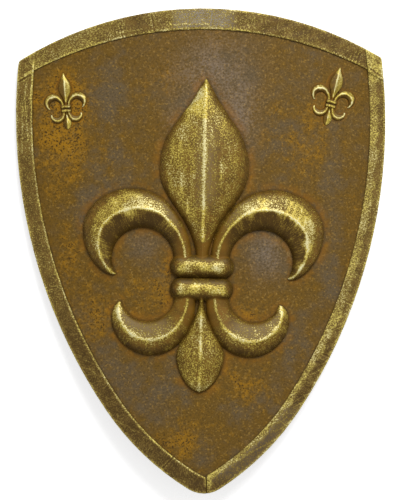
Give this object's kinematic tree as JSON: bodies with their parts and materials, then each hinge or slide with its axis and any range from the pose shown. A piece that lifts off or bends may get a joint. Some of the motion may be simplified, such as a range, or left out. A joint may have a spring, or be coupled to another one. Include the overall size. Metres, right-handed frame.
{
  "type": "heater shield",
  "caption": "Dished heater-shaped costume shield of foam under a painted skin, with a raised fleur-de-lis, edge strips, and a forearm strap and hand grip behind.",
  "frame": {"origin": "middle of the outline, on the surface that the shield lies on with its face up", "axes": "+X to the right seen from the front, +Y towards the arched top edge, +Z out of the face"},
  "size_m": [0.55, 0.72, 0.077],
  "materials": {
    "painted_skin": "rust-brown painted latex skin over foam, mottled, satin",
    "brushed_strip": "brown latex skin dry-brushed with brass paint along the inner corner",
    "brushed_relief": "brown latex skin dry-brushed with brass paint on the crests",
    "strap_leather": "dark brown, stitched, matt",
    "rivet_metal": "dull antique brass"
  },
  "bodies": {
    "root": {"board": "painted_skin", "top_edge_strip": "brushed_strip", "left_edge_strip": "brushed_strip", "right_edge_strip": "brushed_strip", "fleur_de_lis": "brushed_relief", "small_fleur_left": "brushed_relief", "small_fleur_right": "brushed_relief", "forearm_strap": "strap_leather", "hand_grip": "strap_leather", "forearm_strap_rivet_top_left": "rivet_metal", "forearm_strap_rivet_top_right": "rivet_metal", "forearm_strap_rivet_bottom_left": "rivet_metal", "forearm_strap_rivet_bottom_right": "rivet_metal", "hand_grip_rivet_top_left": "rivet_metal", "hand_grip_rivet_top_right": "rivet_metal", "hand_grip_rivet_bottom_left": "rivet_metal", "hand_grip_rivet_bottom_right": "rivet_metal"}
  },
  "joints": []
}
